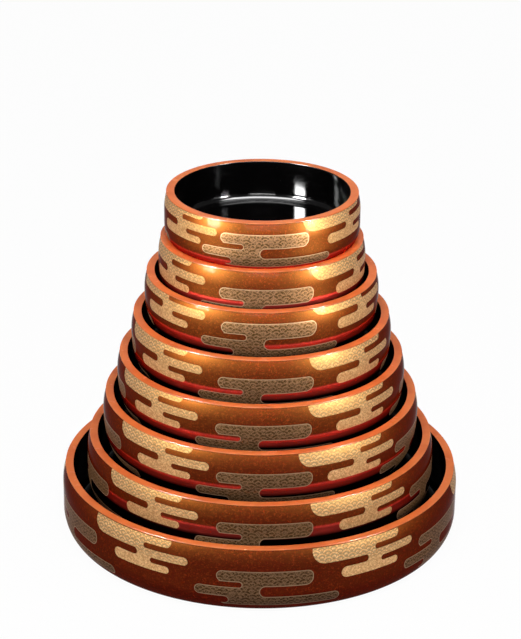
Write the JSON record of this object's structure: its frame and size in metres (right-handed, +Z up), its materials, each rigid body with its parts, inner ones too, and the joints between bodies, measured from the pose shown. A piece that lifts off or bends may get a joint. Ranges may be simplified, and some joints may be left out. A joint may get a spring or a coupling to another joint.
{
  "type": "sushi rice tub set",
  "caption": "Stack of graded round sushi rice tubs with vermilion rims, black liners and gold-sprinkled red lacquer sides with mist clouds, each lifting off the one below.",
  "frame": {"origin": "centre of the largest tub's foot, on the surface that the set stands on", "axes": "+Z up along the axis that all the tubs share, -Y towards the side that the picture shows"},
  "size_m": [0.424, 0.424, 0.3788],
  "materials": {
    "nashiji_lacquer": "red-brown to amber lacquer with fine gold sprinkling and mist clouds under a clear gloss coat",
    "vermilion_lacquer": "plain vermilion gloss lacquer",
    "black_lacquer": "plain black high-gloss lacquer",
    "base_board_paint": "plain black satin",
    "riser_paint": "plain black matt"
  },
  "bodies": {
    "tub_8": {"tub_8_side_wall": "nashiji_lacquer", "tub_8_liner": "black_lacquer", "tub_8_rim": "vermilion_lacquer", "tub_8_base_board": "base_board_paint"},
    "riser_7": {"riser_7": "riser_paint"},
    "tub_7": {"tub_7_side_wall": "nashiji_lacquer", "tub_7_liner": "black_lacquer", "tub_7_rim": "vermilion_lacquer", "tub_7_base_board": "base_board_paint"},
    "riser_6": {"riser_6": "riser_paint"},
    "tub_6": {"tub_6_side_wall": "nashiji_lacquer", "tub_6_liner": "black_lacquer", "tub_6_rim": "vermilion_lacquer", "tub_6_base_board": "base_board_paint"},
    "riser_5": {"riser_5": "riser_paint"},
    "tub_5": {"tub_5_side_wall": "nashiji_lacquer", "tub_5_liner": "black_lacquer", "tub_5_rim": "vermilion_lacquer", "tub_5_base_board": "base_board_paint"},
    "riser_4": {"riser_4": "riser_paint"},
    "tub_4": {"tub_4_side_wall": "nashiji_lacquer", "tub_4_liner": "black_lacquer", "tub_4_rim": "vermilion_lacquer", "tub_4_base_board": "base_board_paint"},
    "riser_3": {"riser_3": "riser_paint"},
    "tub_3": {"tub_3_side_wall": "nashiji_lacquer", "tub_3_liner": "black_lacquer", "tub_3_rim": "vermilion_lacquer", "tub_3_base_board": "base_board_paint"},
    "riser_2": {"riser_2": "riser_paint"},
    "tub_2": {"tub_2_side_wall": "nashiji_lacquer", "tub_2_liner": "black_lacquer", "tub_2_rim": "vermilion_lacquer", "tub_2_base_board": "base_board_paint"},
    "tub_1": {"tub_1_side_wall": "nashiji_lacquer", "tub_1_liner": "black_lacquer", "tub_1_rim": "vermilion_lacquer", "tub_1_base_board": "base_board_paint"}
  },
  "joints": [
    {"name": "riser_7_lift", "type": "slide", "parent": "tub_8", "child": "riser_7", "axis": [0, 0, 1], "range_m": [0, 0.084]},
    {"name": "tub_7_lift", "type": "slide", "parent": "riser_7", "child": "tub_7", "axis": [0, 0, 1], "range_m": [0, 0.05]},
    {"name": "riser_6_lift", "type": "slide", "parent": "tub_7", "child": "riser_6", "axis": [0, 0, 1], "range_m": [0, 0.077]},
    {"name": "tub_6_lift", "type": "slide", "parent": "riser_6", "child": "tub_6", "axis": [0, 0, 1], "range_m": [0, 0.033]},
    {"name": "riser_5_lift", "type": "slide", "parent": "tub_6", "child": "riser_5", "axis": [0, 0, 1], "range_m": [0, 0.073]},
    {"name": "tub_5_lift", "type": "slide", "parent": "riser_5", "child": "tub_5", "axis": [0, 0, 1], "range_m": [0, 0.034]},
    {"name": "riser_4_lift", "type": "slide", "parent": "tub_5", "child": "riser_4", "axis": [0, 0, 1], "range_m": [0, 0.07]},
    {"name": "tub_4_lift", "type": "slide", "parent": "riser_4", "child": "tub_4", "axis": [0, 0, 1], "range_m": [0, 0.031]},
    {"name": "riser_3_lift", "type": "slide", "parent": "tub_4", "child": "riser_3", "axis": [0, 0, 1], "range_m": [0, 0.067]},
    {"name": "tub_3_lift", "type": "slide", "parent": "riser_3", "child": "tub_3", "axis": [0, 0, 1], "range_m": [0, 0.027]},
    {"name": "riser_2_lift", "type": "slide", "parent": "tub_3", "child": "riser_2", "axis": [0, 0, 1], "range_m": [0, 0.065]},
    {"name": "tub_2_lift", "type": "slide", "parent": "riser_2", "child": "tub_2", "axis": [0, 0, 1], "range_m": [0, 0.033]},
    {"name": "tub_1_lift", "type": "slide", "parent": "tub_2", "child": "tub_1", "axis": [0, 0, 1], "range_m": [0, 0.04]}
  ]
}
